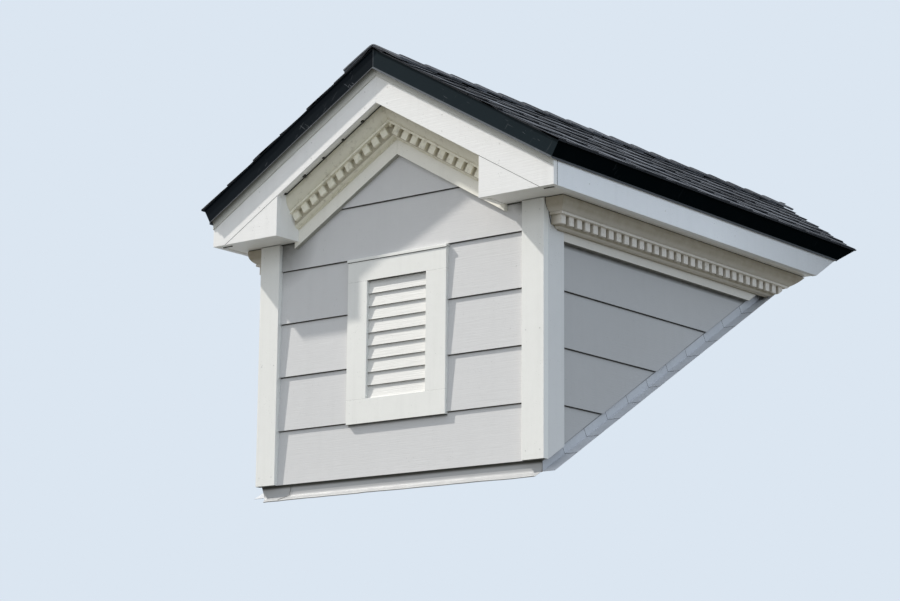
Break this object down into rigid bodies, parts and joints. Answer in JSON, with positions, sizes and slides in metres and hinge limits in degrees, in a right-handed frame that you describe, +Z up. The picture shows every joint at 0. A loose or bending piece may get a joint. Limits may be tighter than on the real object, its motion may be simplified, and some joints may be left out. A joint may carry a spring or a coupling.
{
  "type": "gabled vent dormer",
  "caption": "Small gabled roof dormer with lapped siding, dentil mouldings, boxed eave returns and a fixed louvred vent in its front wall.",
  "frame": {"origin": "on the underside of the front sole, in its middle, where it rests on the house roof", "axes": "+X to the right seen from the front, +Y back into the house roof along the ridge, +Z up"},
  "size_m": [1.5858, 2.7546, 1.535],
  "materials": {
    "trim_paint": "satin white paint on boards",
    "moulding_paint": "older cream paint, dulled in the recesses",
    "siding_paint": "matt light grey paint on lapped boards",
    "louvre_paint": "satin white paint",
    "framing": "bare sawn softwood",
    "sheathing": "bare sheathing board",
    "shingle": "charcoal mineral granules on asphalt",
    "black_metal": "black coil paint, scratched in places",
    "flashing_metal": "weathered mill finish"
  },
  "bodies": {
    "root": {"apron_flashing": "flashing_metal", "cheek_framing": "framing", "cheek_sheathing": "sheathing", "cheek_siding_left": "siding_paint", "cheek_siding_right": "siding_paint", "eave_dentil_left": "moulding_paint", "eave_dentil_right": "moulding_paint", "eave_edges": "black_metal", "eave_fascias": "trim_paint", "eave_friezes": "trim_paint", "eave_nailers": "framing", "eave_soffits": "trim_paint", "front_corner_boards": "trim_paint", "front_framing": "framing", "front_sheathing": "sheathing", "front_siding": "siding_paint", "louvre_blades": "louvre_paint", "louvre_frame": "louvre_paint", "rafters": "framing", "rake_board_left": "trim_paint", "rake_board_right": "trim_paint", "rake_dentil_left": "moulding_paint", "rake_dentil_right": "moulding_paint", "rake_edge_left": "black_metal", "rake_edge_right": "black_metal", "rake_friezes": "trim_paint", "rake_soffits": "trim_paint", "rake_strips": "trim_paint", "return_faces": "trim_paint", "return_sides": "trim_paint", "ridge_board": "framing", "ridge_caps": "shingle", "roof_deck_left": "sheathing", "roof_deck_right": "sheathing", "shingles_left": "shingle", "shingles_right": "shingle", "side_corner_boards": "trim_paint", "sole_frame": "framing", "step_flashings": "flashing_metal", "valley_plates": "framing", "vent_cap": "trim_paint", "vent_casing_head": "trim_paint", "vent_casing_sill": "trim_paint", "vent_casing_stiles": "trim_paint"}
  },
  "joints": []
}
